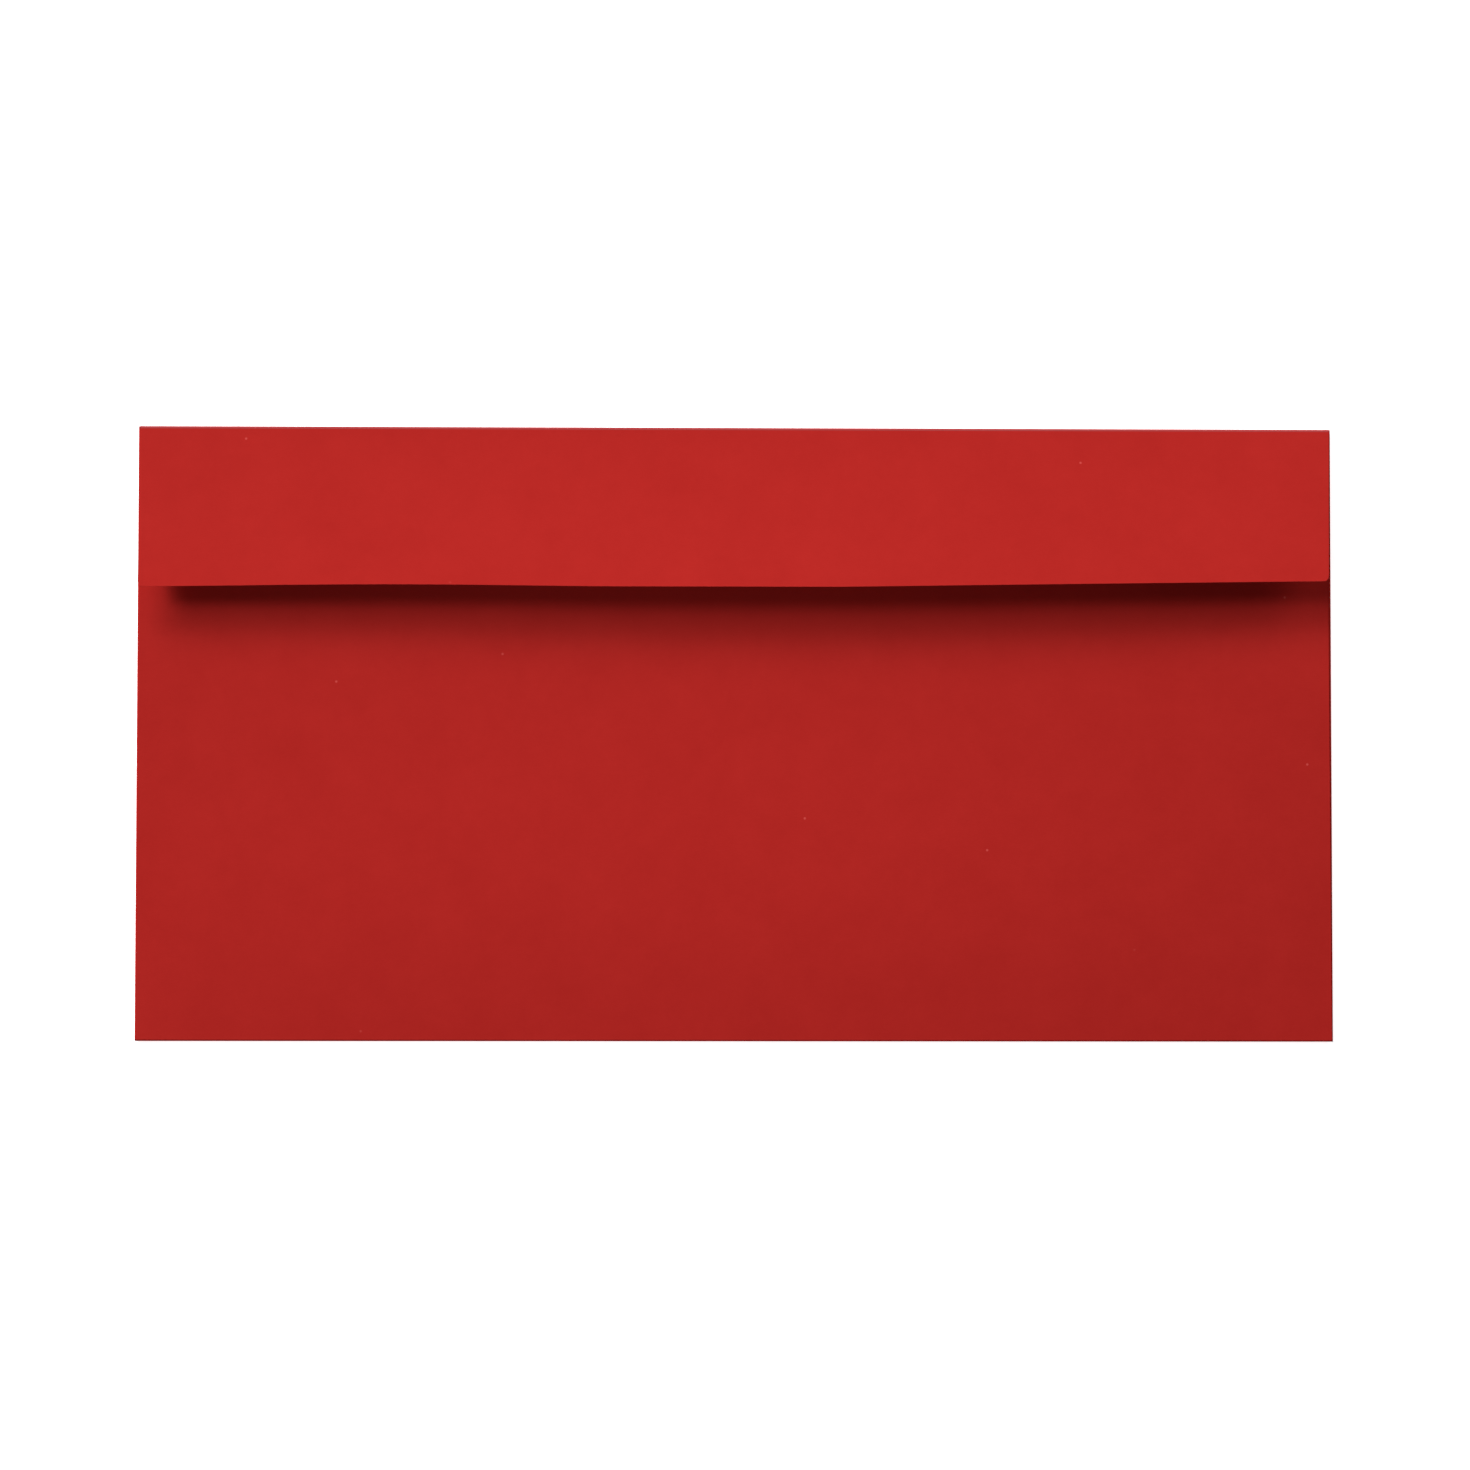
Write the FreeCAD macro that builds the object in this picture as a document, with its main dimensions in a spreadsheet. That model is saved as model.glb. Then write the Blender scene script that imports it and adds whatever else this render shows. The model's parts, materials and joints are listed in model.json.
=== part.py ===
import FreeCAD, Part
import Sketcher
import math
import os

# A wallet envelope with a straight seal flap, lying on its address side, the flap sprung up a
# little. It is one die-cut paper blank: the front panel in the middle, a side flap folded in
# from either end, the back panel folded up from the bottom edge and glued over both side flaps,
# and the seal flap on the top crease. Under the seal flap is a strip of pressure-sensitive
# adhesive, covered by a release liner.
#
# Frame, in millimetres: X along the envelope, +Y towards the seal flap's crease, +Z up, out of
# the back panel. The origin is the middle of the address side, on the surface it lies on.

SIZES = {
    # overall size of the closed envelope, crease to crease
    "length": 225.0,
    "breadth": 115.6,
    # thickness of each layer
    "paper": 0.15,
    "glue": 0.04,
    "adhesive": 0.05,
    "liner": 0.07,
    # inside radius of the side creases, which are pressed nearly flat
    "side_bend": 0.10,
    # side flaps: reach in from the crease, bare ends of the crease, how far the bottom and
    # shoulder edges slope over that reach, and the cut corners
    "side_reach": 20.0,
    "side_relief": 0.3,
    "side_bottom_slope": 5.0,
    "side_shoulder_slope": 12.0,
    "side_corner": 3.0,
    # back panel: how far its cut edges stand in from the ends at the bottom crease and at the
    # throat, the throat below the seal flap's crease, and the cut corners of the throat
    "back_root_inset": 0.25,
    "back_inset": 1.8,
    "throat": 12.0,
    "throat_corner": 4.0,
    # seam glue: strip width, distance from the crease, and bare paper beyond its ends
    "seam_width": 6.0,
    "seam_offset": 7.0,
    "seam_margin": 3.0,
    # seal flap: depth from the crease, how far its ends stand in at the crease and at the free
    # edge, its cut corners, and the angle in degrees that it springs up to
    "flap_depth": 31.0,
    "flap_root_inset": 0.3,
    "flap_tip_inset": 0.6,
    "flap_corner": 1.0,
    "flap_lift": 6.5,
    # adhesive strip and release liner under the seal flap
    "strip_width": 8.0,
    "strip_inset": 12.0,
    "strip_corner": 1.0,
    "liner_width": 12.0,
    "liner_inset": 5.0,
    "liner_margin": 2.5,
    "liner_corner": 1.5,
    # clearances: adhesive to liner, and liner to back panel with the flap closed
    "peel_gap": 0.02,
    "closed_gap": 0.10,
}

# Levels of the layers and inside radii of the creases, as expressions on the sheet.
SIDE_LEVEL = "(sizes.paper + 2 * sizes.side_bend)"
GLUE_LEVEL = f"({SIDE_LEVEL} + sizes.paper)"
BACK_LEVEL = f"({GLUE_LEVEL} + sizes.glue)"
BOTTOM_BEND = f"(({BACK_LEVEL} - sizes.paper) / 2)"
SEAL_STACK = "(sizes.adhesive + sizes.peel_gap + sizes.liner + sizes.closed_gap)"
FLAP_BEND = f"(({BACK_LEVEL} + {SEAL_STACK}) / 2)"

# Crease axes and cut edges, seen from above.
CREASE_X = "(sizes.length / 2 - sizes.side_bend - sizes.paper)"
BOTTOM_Y = f"({BOTTOM_BEND} + sizes.paper - sizes.breadth / 2)"
HINGE_Y = f"(sizes.breadth / 2 - {FLAP_BEND} - sizes.paper)"
HINGE_Z = f"({FLAP_BEND} + sizes.paper)"
BACK_X = "(sizes.length / 2 - sizes.back_root_inset)"
THROAT_X = "(sizes.length / 2 - sizes.back_inset)"
THROAT_Y = "(sizes.breadth / 2 - sizes.throat)"
SIDE_LOW_Y = f"({BOTTOM_Y} + sizes.side_relief)"
SIDE_HIGH_Y = f"({HINGE_Y} - sizes.side_relief)"
SIDE_FOOT_Y = f"({SIDE_LOW_Y} + sizes.side_bottom_slope)"
SIDE_SHOULDER_Y = f"({SIDE_HIGH_Y} - sizes.side_shoulder_slope)"

# On the seal flap, measured from the hinge line: its root is 0 and its free edge is negative.
FLAP_X = "(sizes.length / 2 - sizes.flap_root_inset)"
TIP_X = "(sizes.length / 2 - sizes.flap_tip_inset)"
TIP_Y = f"({FLAP_BEND} + sizes.paper - sizes.flap_depth)"
STRIP_LEVEL = f"({FLAP_BEND} - sizes.adhesive)"
LINER_LEVEL = f"({STRIP_LEVEL} - sizes.peel_gap - sizes.liner)"
LINER_Y = f"({TIP_Y} + sizes.liner_margin + sizes.liner_width / 2)"

LEFT, RIGHT = -1, 1
SAME_POINT = 1e-4


def size_sheet(doc):
    """The driving dimensions, one named cell each."""
    sheet = doc.addObject("Spreadsheet::Sheet", "sizes")
    for row, (alias, value) in enumerate(SIZES.items(), start=1):
        sheet.set(f"A{row}", alias)
        sheet.set(f"B{row}", str(value))
        sheet.setAlias(f"B{row}", alias)
    doc.recompute()


def origin_feature(body, role):
    """One plane or axis of a body's own origin."""
    return next(feature for feature in body.Origin.OriginFeatures if feature.Role == role)


def outline(body, plane, corners):
    """A closed outline of straight cuts through corners given as pairs of expressions."""
    sketch = body.newObject("Sketcher::SketchObject", f"{body.Name}_outline")
    sketch.AttachmentSupport = [(origin_feature(body, plane), "")]
    sketch.MapMode = "FlatFace"
    points = [FreeCAD.Vector(*map(sketch.evalExpression, corner)) for corner in corners]
    for start, end in zip(points, points[1:] + points[:1]):
        sketch.addGeometry(Part.LineSegment(start, end))
    for line, (point, corner) in enumerate(zip(points, corners)):
        after = (line + 1) % len(points)
        sketch.addConstraint(Sketcher.Constraint("Coincident", line, 2, after, 1))
        for direction, place, expression in zip(("DistanceX", "DistanceY"), point, corner):
            ruler = Sketcher.Constraint(direction, -1, 1, line, 1, place)
            sketch.setExpression(f"Constraints[{sketch.addConstraint(ruler)}]", expression)
    return sketch


def sheet_piece(doc, name, corners, thickness, level):
    """A flat piece cut to an outline, its underside at a level above its body's origin."""
    body = doc.addObject("PartDesign::Body", name)
    sketch = outline(body, "XY_Plane", corners)
    sketch.setExpression("AttachmentOffset.Base.z", level)
    pad = body.newObject("PartDesign::Pad", f"{name}_pad")
    pad.Profile = sketch
    pad.setExpression("Length", thickness)
    doc.recompute()
    return body


def strip_corners(half_length, middle, width):
    """The corners of a strip along X, centred on the envelope and on the line y = middle."""
    low, high = f"{middle} - {width} / 2", f"{middle} + {width} / 2"
    return [(f"-{half_length}", low), (half_length, low), (half_length, high), (f"-{half_length}", high)]


def stands_on(edge, point):
    """Whether both ends of an edge are straight above a point."""
    return all(math.hypot(end.X - point.x, end.Y - point.y) < SAME_POINT for end in edge.Vertexes)


def round_corners(body, radius, corners):
    """Rounds the upright edges that stand on some of a flat piece's corners."""
    pad = body.Tip
    points = [FreeCAD.Vector(*map(body.evalExpression, corner)) for corner in corners]
    upright = [
        f"Edge{number}"
        for number, edge in enumerate(pad.Shape.Edges, start=1)
        if any(stands_on(edge, point) for point in points)
    ]
    fillet = body.newObject("PartDesign::Fillet", f"{body.Name}_corners")
    fillet.Base = (pad, upright)
    fillet.setExpression("Radius", radius)
    body.Document.recompute()


def place(body, x, y, z, axis, angle):
    """Stands a body at a point, turned about an axis by an angle, all given as expressions."""
    body.Placement = FreeCAD.Placement(FreeCAD.Vector(), FreeCAD.Rotation(axis, 1))
    body.setExpression("Placement.Base.x", x)
    body.setExpression("Placement.Base.y", y)
    body.setExpression("Placement.Base.z", z)
    body.setExpression("Placement.Rotation.Angle", angle)


def crease(doc, name, half_length, bend, angle):
    """Paper bent up round its own X axis towards +Y, from flat below the axis."""
    body = doc.addObject("PartDesign::Body", name)
    left, right = f"-{half_length}", half_length
    inside, outside = f"-{bend}", f"-({bend} + sizes.paper)"
    section = [(left, outside), (right, outside), (right, inside), (left, inside)]
    turn = body.newObject("PartDesign::Revolution", f"{name}_turn")
    turn.Profile = outline(body, "XZ_Plane", section)
    turn.ReferenceAxis = (origin_feature(body, "X_Axis"), [""])
    turn.setExpression("Angle", angle)
    doc.recompute()
    return body


def front_panel(doc):
    """The address side, flat on the ground and uncut from end crease to end crease."""
    low, high = BOTTOM_Y, HINGE_Y
    corners = [(f"-{CREASE_X}", low), (CREASE_X, low), (CREASE_X, high), (f"-{CREASE_X}", high)]
    return sheet_piece(doc, "front_panel", corners, "sizes.paper", "0")


def bottom_fold(doc):
    """The crease along the bottom edge, which brings the back panel up over the side flaps."""
    body = crease(doc, "bottom_fold", BACK_X, BOTTOM_BEND, "180")
    place(body, "0", BOTTOM_Y, f"{BOTTOM_BEND} + sizes.paper", FreeCAD.Vector(0, 0, 1), "180")
    return body


def flap_fold(doc):
    """The crease along the top edge. It stops short of a half turn by the flap's spring."""
    body = crease(doc, "flap_fold", FLAP_X, FLAP_BEND, "180 - sizes.flap_lift")
    place(body, "0", HINGE_Y, HINGE_Z, FreeCAD.Vector(0, 0, 1), "0")
    return body


def side_fold(doc, name, side):
    """The crease of one side flap, relieved at both ends so that the corners fold freely."""
    half_length = f"(({SIDE_HIGH_Y} - {SIDE_LOW_Y}) / 2)"
    middle = f"({SIDE_HIGH_Y} + {SIDE_LOW_Y}) / 2"
    body = crease(doc, name, half_length, "sizes.side_bend", "180")
    place(body, f"{side} * {CREASE_X}", middle, "sizes.side_bend + sizes.paper",
          FreeCAD.Vector(0, 0, 1), f"{side} * -90")
    return body


def side_flap(doc, name, side):
    """One side flap, inside the envelope, with sloping ends that clear the two long creases."""
    root = f"{side} * {CREASE_X}"
    tip = f"{side} * ({CREASE_X} - sizes.side_reach)"
    corners = [(root, SIDE_LOW_Y), (root, SIDE_HIGH_Y), (tip, SIDE_SHOULDER_Y), (tip, SIDE_FOOT_Y)]
    body = sheet_piece(doc, name, corners, "sizes.paper", SIDE_LEVEL)
    round_corners(body, "sizes.side_corner", corners[2:])
    return body


def seam_glue(doc, name, side):
    """The strip of glue that holds the back panel down on one side flap."""
    near = f"{side} * ({CREASE_X} - sizes.seam_offset)"
    far = f"{side} * ({CREASE_X} - sizes.seam_offset - sizes.seam_width)"
    low = f"{SIDE_FOOT_Y} + sizes.seam_margin"
    high = f"min({THROAT_Y}; {SIDE_SHOULDER_Y}) - sizes.seam_margin"
    corners = [(near, low), (near, high), (far, high), (far, low)]
    return sheet_piece(doc, name, corners, "sizes.glue", GLUE_LEVEL)


def back_panel(doc):
    """The panel folded up from the bottom edge, a little narrower at its throat, which is cut
    below the seal flap's crease."""
    low, high = BOTTOM_Y, THROAT_Y
    corners = [(f"-{BACK_X}", low), (BACK_X, low), (THROAT_X, high), (f"-{THROAT_X}", high)]
    body = sheet_piece(doc, "back_panel", corners, "sizes.paper", BACK_LEVEL)
    round_corners(body, "sizes.throat_corner", corners[2:])
    return body


def on_flap(body):
    """Stands a body on the hinge line, tilted with the seal flap."""
    place(body, "0", HINGE_Y, HINGE_Z, FreeCAD.Vector(1, 0, 0), "-sizes.flap_lift")
    return body


def seal_flap(doc):
    """The straight seal flap, a little narrower at its free edge."""
    corners = [(f"-{FLAP_X}", "0"), (FLAP_X, "0"), (TIP_X, TIP_Y), (f"-{TIP_X}", TIP_Y)]
    body = sheet_piece(doc, "seal_flap", corners, "sizes.paper", FLAP_BEND)
    round_corners(body, "sizes.flap_corner", corners[2:])
    return on_flap(body)


def seal_adhesive(doc):
    """The pressure-sensitive strip laid along the inner face of the seal flap."""
    corners = strip_corners("(sizes.length / 2 - sizes.strip_inset)", LINER_Y, "sizes.strip_width")
    body = sheet_piece(doc, "seal_adhesive", corners, "sizes.adhesive", STRIP_LEVEL)
    round_corners(body, "sizes.strip_corner", corners)
    return on_flap(body)


def release_liner(doc):
    """The peel-off liner over the adhesive, wider and longer than the strip it covers."""
    corners = strip_corners("(sizes.length / 2 - sizes.liner_inset)", LINER_Y, "sizes.liner_width")
    body = sheet_piece(doc, "release_liner", corners, "sizes.liner", LINER_LEVEL)
    round_corners(body, "sizes.liner_corner", corners)
    return on_flap(body)


def envelope(doc):
    """Every sub-part, in the order in which the envelope is made up."""
    return [
        front_panel(doc),
        side_fold(doc, "left_fold", LEFT),
        side_fold(doc, "right_fold", RIGHT),
        side_flap(doc, "left_side_flap", LEFT),
        side_flap(doc, "right_side_flap", RIGHT),
        seam_glue(doc, "left_seam_glue", LEFT),
        seam_glue(doc, "right_seam_glue", RIGHT),
        bottom_fold(doc),
        back_panel(doc),
        flap_fold(doc),
        seal_flap(doc),
        seal_adhesive(doc),
        release_liner(doc),
    ]


def check(doc, bodies):
    """Stops if a feature failed or a sub-part is not one sound solid."""
    failed = [item.Name for item in doc.Objects if {"Invalid", "Error"} & set(item.State)]
    if failed:
        raise RuntimeError(f"failed features: {failed}")
    for body in bodies:
        if body.Shape.isNull() or not body.Shape.isValid() or len(body.Shape.Solids) != 1:
            raise RuntimeError(f"{body.Label} is not one valid solid")


doc = FreeCAD.newDocument("envelope")
size_sheet(doc)
bodies = envelope(doc)
doc.recompute()
check(doc, bodies)
os.makedirs("parts", exist_ok=True)
for body in bodies:
    body.Shape.exportStep(f"parts/{body.Label}.step")
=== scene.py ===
import json
import math
import random

import bpy
from mathutils import Matrix, Vector


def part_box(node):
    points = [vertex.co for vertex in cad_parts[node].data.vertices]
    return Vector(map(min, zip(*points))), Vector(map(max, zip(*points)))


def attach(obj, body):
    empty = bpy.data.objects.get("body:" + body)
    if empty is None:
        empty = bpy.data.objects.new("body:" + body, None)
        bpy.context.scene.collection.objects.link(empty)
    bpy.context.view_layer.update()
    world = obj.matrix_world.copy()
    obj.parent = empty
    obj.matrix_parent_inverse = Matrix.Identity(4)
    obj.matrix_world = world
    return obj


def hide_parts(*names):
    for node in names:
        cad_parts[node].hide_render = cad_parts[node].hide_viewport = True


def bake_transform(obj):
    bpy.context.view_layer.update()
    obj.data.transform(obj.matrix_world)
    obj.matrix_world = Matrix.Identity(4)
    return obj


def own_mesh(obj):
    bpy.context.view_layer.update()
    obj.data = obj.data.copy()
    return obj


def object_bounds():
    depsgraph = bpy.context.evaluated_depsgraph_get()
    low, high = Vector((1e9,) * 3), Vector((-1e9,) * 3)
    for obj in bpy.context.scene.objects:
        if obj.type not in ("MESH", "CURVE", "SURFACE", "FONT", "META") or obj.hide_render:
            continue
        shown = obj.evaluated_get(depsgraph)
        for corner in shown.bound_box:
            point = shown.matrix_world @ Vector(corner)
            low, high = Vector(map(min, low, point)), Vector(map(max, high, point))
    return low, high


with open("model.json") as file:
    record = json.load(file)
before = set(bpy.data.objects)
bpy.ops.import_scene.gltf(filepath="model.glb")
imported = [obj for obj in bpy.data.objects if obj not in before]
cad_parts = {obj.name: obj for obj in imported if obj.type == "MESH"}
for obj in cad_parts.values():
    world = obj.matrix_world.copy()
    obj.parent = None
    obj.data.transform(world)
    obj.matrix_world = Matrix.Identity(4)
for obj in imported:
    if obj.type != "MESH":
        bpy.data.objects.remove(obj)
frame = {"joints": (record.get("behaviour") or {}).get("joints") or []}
cad_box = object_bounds()


# Red envelope paper: uncoated woodfree stock of about 120 g/m2, dyed right through, so that a
# cut edge is red too. It has a cloudy formation, a fine tooth, fibres that lie mostly along the
# web, and a few fibres that took no dye. Each crease has painted shade, a darker purplish red
# for the shade and cool reflection on the bend, and is a little smoother there. A cut edge is
# painted paler, partly fibre fuzz and partly a painted highlight.
class Wire:
    """A socket that takes part in sums: an expression on wires adds the Math nodes it needs."""

    def __init__(self, work, socket):
        self.work, self.socket = work, socket

    def maths(self, operation, *others):
        sockets = dict(enumerate((self, *others)))
        return self.work.node("ShaderNodeMath", {"operation": operation}, sockets)

    def __add__(self, other):
        return self.maths("ADD", other)

    __radd__ = __add__

    def __sub__(self, other):
        return self.maths("SUBTRACT", other)

    def __rsub__(self, other):
        return self * -1 + other

    def __mul__(self, other):
        return self.maths("MULTIPLY", other)

    __rmul__ = __mul__

    def __truediv__(self, other):
        return self.maths("DIVIDE", other)

    def __pow__(self, other):
        return self.maths("POWER", other)


class Work:
    """A node tree under construction."""

    def __init__(self, tree):
        self.tree = tree

    def node(self, kind, settings=None, sockets=None, output=0):
        """Adds a node, its settings first and then its sockets, and gives one output as a wire."""
        made = self.tree.nodes.new(kind)
        for name, value in (settings or {}).items():
            setattr(made, name, value)
        for key, value in (sockets or {}).items():
            into = self.find(made.inputs, key)
            if isinstance(value, Wire):
                self.tree.links.new(value.socket, into)
            else:
                into.default_value = value
        return Wire(self, self.find(made.outputs, output))

    @staticmethod
    def find(sockets, key):
        """A socket by its number, its identifier or its name."""
        if isinstance(key, int):
            return sockets[key]
        exact = [socket for socket in sockets if socket.identifier == key]
        return (exact or [socket for socket in sockets if socket.name == key])[0]

    def fade(self, value, start, end):
        """1 up to start, falling smoothly to 0 at end."""
        settings = {"interpolation_type": "SMOOTHSTEP"}
        sockets = {"Value": value, "From Min": start, "From Max": end, "To Min": 1.0, "To Max": 0.0}
        return self.node("ShaderNodeMapRange", settings, sockets, "Result")

    def mix(self, share, colour, other):
        """One colour passing into another as share goes from 0 to 1."""
        sockets = {"Factor_Float": share, "A_Color": colour, "B_Color": other}
        return self.node("ShaderNodeMix", {"data_type": "RGBA"}, sockets, "Result_Color")

    def noise(self, where, scale, detail=3.0, roughness=0.5):
        """Noise from 0 to 1 with so many features to the metre."""
        sockets = {"Vector": where, "Scale": scale, "Detail": detail, "Roughness": roughness}
        return self.node("ShaderNodeTexNoise", {}, sockets, "Fac")


def new_material(name):
    """A material with a Principled surface, its node work and where on the piece it is."""
    made = bpy.data.materials.new(name)
    made.use_nodes = True
    work = Work(made.node_tree)
    surface = made.node_tree.nodes["Principled BSDF"]
    where = work.node("ShaderNodeTexCoord", output="Object")
    return made, work, surface, where


def feed(work, surface, **inputs):
    """Links wires to the surface's sockets, named with underscores for spaces."""
    for name, wire in inputs.items():
        work.tree.links.new(wire.socket, surface.inputs[name.replace("_", " ")])


def red_paper():
    """Paper that reads how far each point is from its crease and from its cut edge."""
    deep, bright = (0.355, 0.0130, 0.0105, 1), (0.425, 0.0190, 0.0155, 1)
    # the first red below is painted shade for the creases, the second is fibre fuzz and a painted
    # highlight for the cut edges
    crease_shade_red, fuzz_and_highlight_red = (0.19, 0.050, 0.056, 1), (0.50, 0.055, 0.052, 1)
    undyed = (0.60, 0.085, 0.075, 1)
    crease_shade_width, fuzz_highlight_start, fuzz_highlight_end = 0.0011, 0.00005, 0.0004

    made, work, surface, where = new_material("red_paper")
    stretched = work.node("ShaderNodeMapping", {}, {"Vector": where, "Scale": (0.25, 1.0, 1.0)})
    cloud = work.noise(where, 95.0, 4.0)
    flock = work.noise(where, 420.0, 3.0, 0.6)
    fibre = work.noise(stretched, 5200.0, 4.0, 0.65)
    tooth = work.noise(where, 7500.0, 2.0)

    tone = 0.5 + (cloud - 0.5) * 0.6 + (flock - 0.5) * 0.4 + (fibre - 0.5) * 0.6
    colour = work.mix(tone, deep, bright)

    from_fold = work.node("ShaderNodeAttribute", {"attribute_name": "from_fold"}, output="Fac")
    from_cut = work.node("ShaderNodeAttribute", {"attribute_name": "from_cut"}, output="Fac")
    # painted shade and a bluish painted reflection: the colour darkens to a purplish red on each bend
    # and just past it, and the same mask makes the crease a little smoother
    crease_shade_and_burnish = work.fade(from_fold, 0.0, crease_shade_width) * (0.65 + fibre * 0.35)
    colour = work.mix(crease_shade_and_burnish * 0.72, colour, crease_shade_red)
    # fibre fuzz and a painted highlight: the colour pales within a fraction of a millimetre of each cut
    # edge
    fuzz_and_edge_highlight = work.fade(from_cut, fuzz_highlight_start, fuzz_highlight_end) * (0.5 + fibre * 0.5)
    colour = work.mix(fuzz_and_edge_highlight * 0.2, colour, fuzz_and_highlight_red)

    # cells across the sheet alone, because in depth few cells have their middle on the paper
    flat = {"voronoi_dimensions": "2D"}
    speck = work.node("ShaderNodeTexVoronoi", flat, {"Vector": where, "Scale": 46.0}, "Distance")
    chosen = work.noise(where, 31.0, 0.0)
    fleck = work.fade(speck, 0.007, 0.013) * work.fade(chosen * -1, -0.65, -0.62)
    colour = work.mix(fleck * 0.6, colour, undyed)

    rough = 0.86 - crease_shade_and_burnish * 0.12 + (flock - 0.5) * 0.08
    relief = cloud * 1.6 + flock * 0.5 + fibre * 0.16 + tooth * 0.05
    sockets = {"Height": relief, "Strength": 0.35, "Distance": 0.00004}
    bump = work.node("ShaderNodeBump", {}, sockets, "Normal")
    feed(work, surface, Base_Color=colour, Roughness=rough, Normal=bump)
    surface.inputs["Specular IOR Level"].default_value = 0.05
    return made


paper = red_paper()


# The blank: every part of the envelope that folds is the same paper, bent up round a crease
# and run on to a cut edge. The side flaps, the back panel and the seal flap are all made so.
FLOAT, COUNT = "NodeSocketFloat", "NodeSocketInt"
BLANK_SIZES = {
    "Columns": COUNT,
    "Bend Rows": COUNT,
    "Run Rows": COUNT,
    "Paper": FLOAT,
    "Bend Radius": FLOAT,
    "Bend From": FLOAT,
    "Bend To": FLOAT,
    "Left": FLOAT,
    "Right": FLOAT,
    "Left Spread": FLOAT,
    "Right Spread": FLOAT,
    "Left Slope": FLOAT,
    "Right Slope": FLOAT,
    "Reach": FLOAT,
    "Corner": FLOAT,
    "Trim": FLOAT,
    "Trim From": FLOAT,
    "Dip": FLOAT,
    "Dip Middle": FLOAT,
    "Dip Half": FLOAT,
    "Bow": FLOAT,
    "Bow Middle": FLOAT,
    "Bow Half": FLOAT,
    "Bow Curl": FLOAT,
    "Pillow": FLOAT,
    "Pillow Rise": FLOAT,
    "Pillow Fall": FLOAT,
    "Pillow Span": FLOAT,
}
# a part that doesn't give these has 1, because the tree divides by them or takes a power
NEVER_ZERO = ("Dip Half", "Bow Half", "Bow Curl", "Pillow Rise", "Pillow Fall")
# an edge that turns by more than this, in radians, is left sharp
SHARP_EDGE = 0.7


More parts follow.
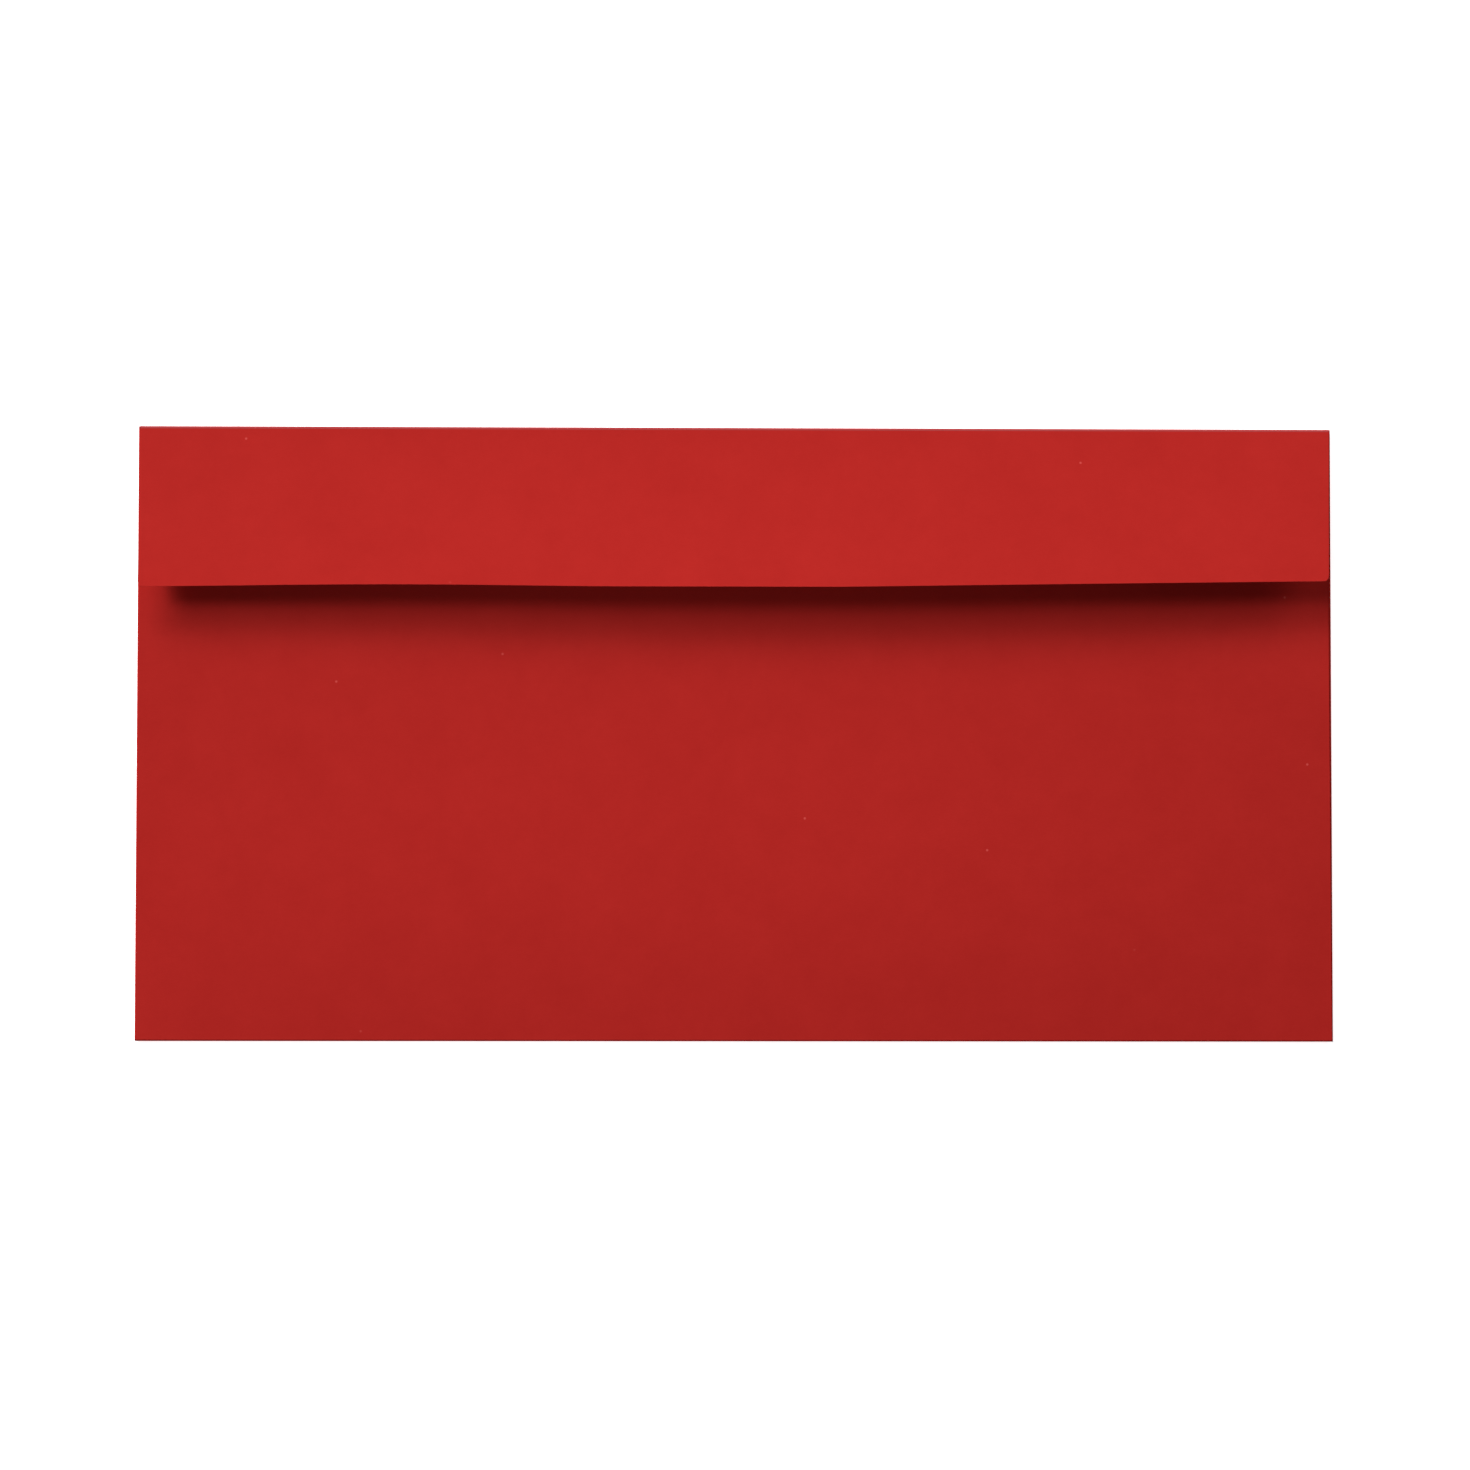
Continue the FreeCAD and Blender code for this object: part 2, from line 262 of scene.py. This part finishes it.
def blank_tree(material):
    """Paper bent up round the local X axis and run on to a cut edge. The bend turns from one
    angle to another, 0 being straight below the axis. Left and Right are the crease's ends. The
    spreads lengthen its lower half, and the slopes bring the run in. Trim and Dip shorten the run
    at the right end and at one place, Bow lifts the cut edge, and Pillow the middle of the run."""
    tree = bpy.data.node_groups.new("folded_blank", "GeometryNodeTree")
    for name, kind in BLANK_SIZES.items():
        tree.interface.new_socket(name=name, in_out="INPUT", socket_type=kind)
    tree.interface.new_socket(name="Geometry", in_out="OUTPUT", socket_type="NodeSocketGeometry")
    work = Work(tree)
    given = tree.nodes.new("NodeGroupInput")
    size = {name: Wire(work, given.outputs[name]) for name in BLANK_SIZES}

    last_row = size["Bend Rows"] + size["Run Rows"]
    counts = {"Vertices X": size["Columns"], "Vertices Y": last_row + 1, "Vertices Z": 2}
    slab = work.node("GeometryNodeMeshCube", {}, {"Size": (1.0, 1.0, 1.0), **counts}, "Mesh")
    spot = work.node("GeometryNodeInputPosition")
    across, along, through = (
        work.node("ShaderNodeSeparateXYZ", {}, {"Vector": spot}, axis) + 0.5 for axis in "XYZ"
    )

    row = along * last_row
    bent = (row / size["Bend Rows"].maths("MAXIMUM", 1.0)).maths("MINIMUM", 1.0)
    turned = size["Bend From"] + (size["Bend To"] - size["Bend From"]) * bent
    run = ((row - size["Bend Rows"]) / size["Run Rows"].maths("MAXIMUM", 1.0)).maths("MAXIMUM", 0.0)
    # the rows crowd together towards the cut edge, where the corners are round
    share = (run * (math.pi / 2)).maths("SINE")

    straight = size["Left"] + (size["Right"] - size["Left"]) * across
    past_trim_start = (straight - size["Trim From"]) / (size["Right"] - size["Trim From"])
    trim = past_trim_start.maths("MAXIMUM", 0.0)
    beside = (straight - size["Dip Middle"]) / size["Dip Half"]
    dip = (1 - beside * beside).maths("MAXIMUM", 0.0) ** 2
    reach = size["Reach"] - size["Trim"] * trim - size["Dip"] * dip
    flat = share * reach

    past = (flat - reach + size["Corner"]).maths("MAXIMUM", 0.0)
    chord = (size["Corner"] ** 2 - past ** 2).maths("MAXIMUM", 0.0).maths("SQRT")
    rounding = size["Corner"] - chord
    spread = 1 - (bent * 2 - 1).maths("MAXIMUM", 0.0) ** 2
    left = size["Left"] - size["Left Spread"] * spread + size["Left Slope"] * share + rounding
    right = size["Right"] + size["Right Spread"] * spread - size["Right Slope"] * share - rounding
    x = left + (right - left) * across

    aside = (x - size["Bow Middle"]) / size["Bow Half"]
    hump = (1 - aside * aside).maths("MAXIMUM", 0.0)
    bow = size["Bow"] * hump * share ** size["Bow Curl"]
    rise = 1 - (1 - flat / size["Pillow Rise"]).maths("MAXIMUM", 0.0) ** 2
    fall = work.fade(flat, size["Pillow Span"] - size["Pillow Fall"], size["Pillow Span"])
    swell = size["Pillow"] * rise * fall * (1 - aside ** 4)

    radius = size["Bend Radius"] + size["Paper"] * (1 - through) + (bow + swell)
    sine, cosine = turned.maths("SINE"), turned.maths("COSINE")
    y = radius * sine + flat * cosine
    z = flat * sine - radius * cosine
    place = work.node("ShaderNodeCombineXYZ", {}, {"X": x, "Y": y, "Z": z})
    shape = work.node("GeometryNodeSetPosition", {}, {"Geometry": slab, "Position": place})

    from_end = (x - left).maths("MINIMUM", right - x)
    from_cut = from_end.maths("MINIMUM", reach - flat)
    for name, value in (("from_fold", flat), ("from_cut", from_cut)):
        sockets = {"Geometry": shape, "Name": name, "Value": value}
        shape = work.node("GeometryNodeStoreNamedAttribute", {"data_type": "FLOAT"}, sockets)
    angle = work.node("GeometryNodeInputMeshEdgeAngle", output="Unsigned Angle")
    sharp = angle.maths("GREATER_THAN", SHARP_EDGE)
    sockets = {"Geometry": shape, "Selection": sharp, "Shade Smooth": False}
    shape = work.node("GeometryNodeSetShadeSmooth", {"domain": "EDGE"}, sockets)
    whole = work.node("GeometryNodeRealizeInstances", {}, {"Geometry": shape})
    dressed = work.node("GeometryNodeSetMaterial", {}, {"Geometry": whole, "Material": material})
    tree.links.new(dressed.socket, tree.nodes.new("NodeGroupOutput").inputs["Geometry"])
    return tree


blank = blank_tree(paper)


def folded(name, at, turn, **sizes):
    """A part of the blank with its crease through a point, turned about the upright there."""
    host = bpy.data.objects.new(name, bpy.data.meshes.new(name))
    bpy.context.scene.collection.objects.link(host)
    modifier = host.modifiers.new("blank", "NODES")
    modifier.node_group = blank
    values = {size: 0 if kind == COUNT else 0.0 for size, kind in BLANK_SIZES.items()}
    values.update(dict.fromkeys(NEVER_ZERO, 1.0))
    values.update({key.replace("_", " ").title(): value for key, value in sizes.items()})
    for socket in blank.interface.items_tree:
        if socket.in_out == "INPUT":
            modifier[socket.identifier] = values[socket.name]
    evaluated = host.evaluated_get(bpy.context.evaluated_depsgraph_get())
    mesh = bpy.data.meshes.new_from_object(evaluated)
    mesh.transform(Matrix.Translation(at) @ Matrix.Rotation(turn, 4, "Z"))
    mesh.name = name
    host.modifiers.remove(modifier)
    host.data = mesh
    return host


# Front panel: the address side, which lies flat on the table. Both ends and both long edges
# are creases, so the paper is cut only in the relieved corners.
front_low, front_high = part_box("front_panel")
thick = front_high.z - front_low.z
front_sheet = folded(
    "front_sheet",
    at=Vector((0, front_low.y, thick)),
    turn=0.0,
    columns=91,
    run_rows=40,
    paper=thick,
    left=front_low.x,
    right=front_high.x,
    reach=front_high.y - front_low.y,
)
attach(front_sheet, "pocket")
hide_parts("front_panel")


# Side flaps: one at each end, folded in flat over the front panel. Their sloping ends keep
# them clear of the two long creases, and the back panel is glued down on them.
SIDE_BOTTOM_SLOPE, SIDE_SHOULDER_SLOPE, SIDE_CORNER = 0.005, 0.012, 0.003
for side, turn in (("left", math.pi / 2), ("right", -math.pi / 2)):
    fold_low, fold_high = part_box(f"{side}_fold")
    flap_low, flap_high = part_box(f"{side}_side_flap")
    outward = -1 if side == "left" else 1
    crease_x = fold_high.x if side == "left" else fold_low.x
    outer_radius = (fold_high.z - fold_low.z) / 2
    # turned to the left, the crease's local X runs up the envelope; to the right, down it
    slopes = (SIDE_BOTTOM_SLOPE, SIDE_SHOULDER_SLOPE)[::-outward]
    spreads = (fold_low.y - cad_box[0][1], cad_box[1][1] - fold_high.y)[::-outward]
    ends = sorted((-outward * fold_low.y, -outward * fold_high.y))
    side_sheet = folded(
        f"{side}_side_sheet",
        at=Vector((crease_x, 0, outer_radius)),
        turn=turn,
        columns=61,
        bend_rows=12,
        run_rows=24,
        paper=thick,
        bend_radius=outer_radius - thick,
        bend_to=math.pi,
        left=ends[0],
        right=ends[1],
        left_spread=spreads[0],
        right_spread=spreads[1],
        left_slope=slopes[0],
        right_slope=slopes[1],
        reach=flap_high.x - flap_low.x,
        corner=SIDE_CORNER,
    )
    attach(side_sheet, "pocket")
    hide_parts(f"{side}_fold", f"{side}_side_flap")


# Back panel: folded up from the bottom crease and glued over both side flaps. Air and the
# spring of the bottom crease keep its middle a little proud of the pocket.
THROAT_INSET, THROAT_CORNER = 0.0003, 0.004
PILLOW, PILLOW_RISE, PILLOW_FALL, PILLOW_SPAN = 0.0013, 0.045, 0.062, 0.072
fold_low, fold_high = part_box("bottom_fold")
back_low, back_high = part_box("back_panel")
outer_radius = (fold_high.z - fold_low.z) / 2
back_sheet = folded(
    "back_sheet",
    at=Vector((0, fold_high.y, outer_radius)),
    turn=math.pi,
    columns=121,
    bend_rows=14,
    run_rows=80,
    paper=thick,
    bend_radius=outer_radius - thick,
    bend_to=math.pi,
    left=-fold_high.x,
    right=-fold_low.x,
    left_slope=THROAT_INSET,
    right_slope=THROAT_INSET,
    reach=back_high.y - back_low.y,
    corner=THROAT_CORNER,
    bow_half=back_high.x,
    pillow=PILLOW,
    pillow_rise=PILLOW_RISE,
    pillow_fall=PILLOW_FALL,
    pillow_span=PILLOW_SPAN,
)
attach(back_sheet, "pocket")
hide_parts("bottom_fold", "back_panel")


# Seal flap: the last part of the blank, folded over from the top crease. It springs up from
# the pocket by a few degrees, and its cut edge bows up more in the middle than at its ends.
FLAP_LEFT_INSET, FLAP_RIGHT_INSET, FLAP_CORNER = 0.0003, 0.0009, 0.001
FLAP_TRIM, FLAP_TRIM_FROM = 0.0014, 0.020
FLAP_DIP, FLAP_DIP_MIDDLE, FLAP_DIP_HALF = 0.00035, -0.066, 0.046
FLAP_BOW, BOW_MIDDLE, BOW_HALF, BOW_CURL = 0.0021, 0.018, 0.180, 1.3
hinge = next(joint for joint in frame["joints"] if joint["name"] == "flap_hinge")
hinge_at = Vector(hinge["pos_m"])
spring = math.radians(-hinge["range_deg"][0])
flap_low, flap_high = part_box("seal_flap")
flap_radius = hinge_at.z - thick
flap_reach = (hinge_at.y - flap_low.y + flap_radius * math.sin(spring)) / math.cos(spring)
flap_sizes = {
    "at": hinge_at,
    "turn": 0.0,
    "columns": 161,
    "paper": thick,
    "bend_radius": flap_radius,
    "bend_to": math.pi - spring,
    "left": flap_low.x,
    "right": flap_high.x,
}
flap_crease = folded("flap_crease", bend_rows=18, **flap_sizes)
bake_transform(flap_crease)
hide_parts("flap_fold")

flap_sheet = folded(
    "flap_sheet",
    bend_from=math.pi - spring,
    run_rows=40,
    left_slope=FLAP_LEFT_INSET,
    right_slope=FLAP_RIGHT_INSET,
    reach=flap_reach,
    corner=FLAP_CORNER,
    trim=FLAP_TRIM,
    trim_from=FLAP_TRIM_FROM,
    dip=FLAP_DIP,
    dip_middle=FLAP_DIP_MIDDLE,
    dip_half=FLAP_DIP_HALF,
    bow=FLAP_BOW,
    bow_middle=BOW_MIDDLE,
    bow_half=BOW_HALF,
    bow_curl=BOW_CURL,
    **flap_sizes,
)
flap_out = Vector((0, math.sin(spring), math.cos(spring)))
flap_down = Vector((0, -math.cos(spring), math.sin(spring)))


def follow_flap(piece, body):
    """Attaches a piece to a moving body, on a mesh of its own."""
    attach(piece, body)
    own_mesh(piece)


follow_flap(flap_sheet, "flap")
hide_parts("seal_flap")


# Seam glue: a line of dextrin glue on each side flap, rolled on wet and pressed out under the
# back panel, so that it is thin and yellowish and its edges wander.
def dried_glue():
    """Glue with cloudy patches and a fine crackle."""
    brown, straw = (0.62, 0.40, 0.24, 1), (0.78, 0.62, 0.42, 1)
    made, work, surface, where = new_material("dried_glue")
    patch = work.noise(where, 700.0, 3.0)
    colour = work.mix(patch, brown, straw)
    crackle = work.noise(where, 3800.0, 2.0)
    sockets = {"Height": crackle, "Strength": 0.4, "Distance": 0.00002}
    bump = work.node("ShaderNodeBump", {}, sockets, "Normal")
    feed(work, surface, Base_Color=colour, Roughness=0.30 + patch * 0.25, Normal=bump)
    return made


glue = dried_glue()


def ribbon(name, stations, lay, thickness, material):
    """A thin strip on a closed section. Each station is how far along it is and where its two
    edges are; lay turns how far along, how far across and how high into a place."""
    points, faces = [], []
    for along, low, high in stations:
        points += [lay(along, across, up) for up in (0.0, thickness) for across in (low, high)]
    for start in range(0, len(points) - 4, 4):
        for near, far in ((0, 1), (1, 3), (3, 2), (2, 0)):
            faces.append((start + near, start + far, start + far + 4, start + near + 4))
    end = len(points) - 4
    faces += [(0, 2, 3, 1), (end, end + 1, end + 3, end + 2)]
    mesh = bpy.data.meshes.new(name)
    mesh.from_pydata(points, [], faces)
    mesh.materials.append(material)
    piece = bpy.data.objects.new(name, mesh)
    bpy.context.scene.collection.objects.link(piece)
    return piece


GLUE_WANDER = 0.0006
GLUE_STEPS = 90
GLUE_TAPER_SHARE, GLUE_END_WIDTH = 1 / 12, 0.4
glue_random = random.Random(7)
for side in ("left", "right"):
    low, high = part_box(f"{side}_seam_glue")
    stations = []
    for step in range(GLUE_STEPS + 1):
        y = low.y + (high.y - low.y) * step / GLUE_STEPS
        from_end = min(step, GLUE_STEPS - step) / GLUE_STEPS
        fullness = math.sin(math.pi / 2 * min(1.0, from_end / GLUE_TAPER_SHARE))
        half = (high.x - low.x) / 2 * (GLUE_END_WIDTH + (1 - GLUE_END_WIDTH) * fullness)
        edges = [sign * (half - GLUE_WANDER * glue_random.random()) for sign in (-1, 1)]
        stations.append((y, *edges))
    middle, level = (low.x + high.x) / 2, low.z

    def on_side_flap(along, across, up, middle=middle, level=level):
        return Vector((middle - across, along, level + up))

    seam = ribbon(f"{side}_glue_line", stations, on_side_flap, high.z - low.z, glue)
    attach(seam, "pocket")
    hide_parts(f"{side}_seam_glue")


# Seal adhesive: a clear strip of tacky hot-melt film, drawn along the inner face of the seal
# flap near its cut edge. It follows the flap's bow.
def tacky_film():
    """Film with long drag marks and a few soft bubbles, over the red of the paper."""
    film, pale_film = (0.50, 0.13, 0.09, 1), (0.60, 0.22, 0.16, 1)
    made, work, surface, where = new_material("tacky_film")
    streak = work.node("ShaderNodeMapping", {}, {"Vector": where, "Scale": (0.06, 1.0, 1.0)})
    drag = work.noise(streak, 1800.0, 3.0)
    bubble = work.noise(where, 900.0, 1.0)
    colour = work.mix(drag, film, pale_film)
    sockets = {"Height": drag, "Strength": 0.3, "Distance": 0.00002}
    bump = work.node("ShaderNodeBump", {}, sockets, "Normal")
    feed(work, surface, Base_Color=colour, Roughness=0.20 + bubble * 0.20, Normal=bump)
    surface.inputs["Coat Weight"].default_value = 0.35
    surface.inputs["Coat Roughness"].default_value = 0.18
    return made


def flap_lift_at(x, share):
    """How far the bowed flap stands above its flat place, at a share of its reach."""
    hump = max(0.0, 1 - ((x - BOW_MIDDLE) / BOW_HALF) ** 2)
    return FLAP_BOW * hump * share ** BOW_CURL


def under_flap(level):
    """Lays a strip under the bowed flap, at a level measured outwards from the hinge's line."""
    def lay(along, across, up):
        raised = flap_lift_at(along, across / flap_reach)
        return hinge_at + Vector((along, 0, 0)) + flap_down * across + flap_out * (level + up + raised)
    return lay


def strip_stations(half_length, middle, width, corner, steps=150, round_steps=8):
    """Stations of a strip along X with rounded corners."""
    arc = [corner * (1 - math.cos(math.pi / 2 * step / round_steps)) for step in range(round_steps)]
    ends = [(-half_length + distance, distance) for distance in arc]
    straight = half_length - corner
    inner = [(-straight + 2 * straight * step / steps, corner) for step in range(steps + 1)]
    stations = []
    for x, distance in ends + inner + [(-x, distance) for x, distance in reversed(ends)]:
        cut = corner - math.sqrt(max(0.0, corner ** 2 - (corner - distance) ** 2))
        stations.append((x, middle - width / 2 + cut, middle + width / 2 - cut))
    return stations


LINER_MARGIN, LINER_WIDTH = 0.0025, 0.012
ADHESIVE_WIDTH, ADHESIVE_CORNER, ADHESIVE_THICK = 0.008, 0.001, 0.00005
strip_middle = flap_reach - LINER_MARGIN - LINER_WIDTH / 2
adhesive_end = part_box("seal_adhesive")[1].x
adhesive_level = flap_radius - ADHESIVE_THICK
adhesive_stations = strip_stations(adhesive_end, strip_middle, ADHESIVE_WIDTH, ADHESIVE_CORNER)
adhesive = ribbon(
    "adhesive_strip", adhesive_stations, under_flap(adhesive_level), ADHESIVE_THICK, tacky_film()
)
follow_flap(adhesive, "flap")
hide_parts("seal_adhesive")


# Release liner: white glassine with a silicone face, laid over the adhesive. It is wider and
# longer than the adhesive, so that a nail can lift it.
def glassine():
    """Dense smooth paper with a cloudy look and faint fibres."""
    grey_white, white = (0.60, 0.59, 0.545, 1), (0.72, 0.71, 0.67, 1)
    made, work, surface, where = new_material("glassine_liner")
    cloud = work.noise(where, 240.0, 4.0)
    fibre = work.noise(where, 4200.0, 3.0)
    colour = work.mix(cloud * 0.7 + fibre * 0.3, grey_white, white)
    sockets = {"Height": cloud, "Strength": 0.25, "Distance": 0.00004}
    bump = work.node("ShaderNodeBump", {}, sockets, "Normal")
    feed(work, surface, Base_Color=colour, Roughness=0.42 + fibre * 0.14, Normal=bump)
    surface.inputs["Specular IOR Level"].default_value = 0.3
    return made


LINER_CORNER, LINER_THICK, PEEL_GAP = 0.0015, 0.00007, 0.00002
liner_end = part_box("release_liner")[1].x
liner_level = adhesive_level - PEEL_GAP - LINER_THICK
liner_stations = strip_stations(liner_end, strip_middle, LINER_WIDTH, LINER_CORNER)
liner = ribbon("liner_strip", liner_stations, under_flap(liner_level), LINER_THICK, glassine())
follow_flap(liner, "liner")
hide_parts("release_liner")


# Table: a plain white sheet, just clear of the envelope. It also glows by itself, so that it
# stays white close to the paper.
TABLE_HALF, TABLE_DROP = 1.2, 0.00025
table_mesh = bpy.data.meshes.new("table")
corners = [(-TABLE_HALF, -TABLE_HALF), (TABLE_HALF, -TABLE_HALF)]
corners += [(TABLE_HALF, TABLE_HALF), (-TABLE_HALF, TABLE_HALF)]
table_mesh.from_pydata([(x, y, -TABLE_DROP) for x, y in corners], [], [(0, 1, 2, 3)])
table = bpy.data.objects.new("table", table_mesh)
bpy.context.scene.collection.objects.link(table)
table_white = bpy.data.materials.new("table_white")
table_white.use_nodes = True
table_surface = table_white.node_tree.nodes["Principled BSDF"]
table_surface.inputs["Base Color"].default_value = (0.9, 0.9, 0.9, 1)
table_surface.inputs["Roughness"].default_value = 0.9
table_surface.inputs["Specular IOR Level"].default_value = 0.1
table_surface.inputs["Emission Color"].default_value = (1, 1, 1, 1)
table_surface.inputs["Emission Strength"].default_value = 0.82
table_mesh.materials.append(table_white)


# Lights: a large softbox and a long low window, both far off at the top left, a small lamp low
# at the top right, another close overhead, and a faint fill from all round.
def softbox(name, azimuth, elevation, distance, width, height, power, aim=(0.0, 0.0)):
    """An area light that looks at a point of the table. Azimuth is from +Y towards -X."""
    light = bpy.data.lights.new(name, "AREA")
    light.shape = "RECTANGLE"
    light.size = width
    light.size_y = height
    light.energy = power
    lamp = bpy.data.objects.new(name, light)
    bpy.context.scene.collection.objects.link(lamp)
    turn, rise = math.radians(azimuth), math.radians(elevation)
    towards = Vector((-math.sin(turn) * math.cos(rise), math.cos(turn) * math.cos(rise), math.sin(rise)))
    lamp.location = Vector((*aim, 0.0)) + towards * distance
    lamp.rotation_euler = towards.to_track_quat("Z", "Y").to_euler()
    lamp.visible_camera = False


softbox("key_softbox", azimuth=62, elevation=32, distance=2.4, width=0.88, height=0.80, power=42)
softbox("low_window", azimuth=31, elevation=24.8, distance=3.0, width=2.2, height=0.80, power=97)
softbox(
    "side_lamp",
    azimuth=-50,
    elevation=15,
    distance=0.34,
    width=0.20,
    height=0.08,
    power=0.34,
    aim=(0.03, 0.01),
)
softbox(
    "top_lamp",
    azimuth=0,
    elevation=90,
    distance=0.19,
    width=0.10,
    height=0.10,
    power=0.068,
    aim=(-0.022, -0.036),
)

FILL, BACKDROP = 0.05, 1.0
world = bpy.data.worlds.new("studio")
world.use_nodes = True
sky = Work(world.node_tree)
background = world.node_tree.nodes["Background"]
seen = sky.node("ShaderNodeLightPath", output="Is Camera Ray")
sky.tree.links.new((seen * (BACKDROP - FILL) + FILL).socket, background.inputs["Strength"])
background.inputs["Color"].default_value = (1, 1, 1, 1)
bpy.context.scene.world = world
bpy.context.scene.view_settings.view_transform = "Standard"


# Camera: a long lens, almost straight above the envelope. It stands a little in front of the
# middle and leans back, so that the far edge looks slightly shorter.
camera_data = bpy.data.cameras.new("camera")
camera_data.lens = 104
camera_data.sensor_width = 36
camera_data.clip_start = 0.01
camera_data.clip_end = 20
camera = bpy.data.objects.new("camera", camera_data)
bpy.context.scene.collection.objects.link(camera)
camera.location = (-0.01447, -0.03581, 0.79908)
camera.rotation_euler = (math.radians(2.548), math.radians(-1.033), math.radians(0.063))
bpy.context.scene.camera = camera
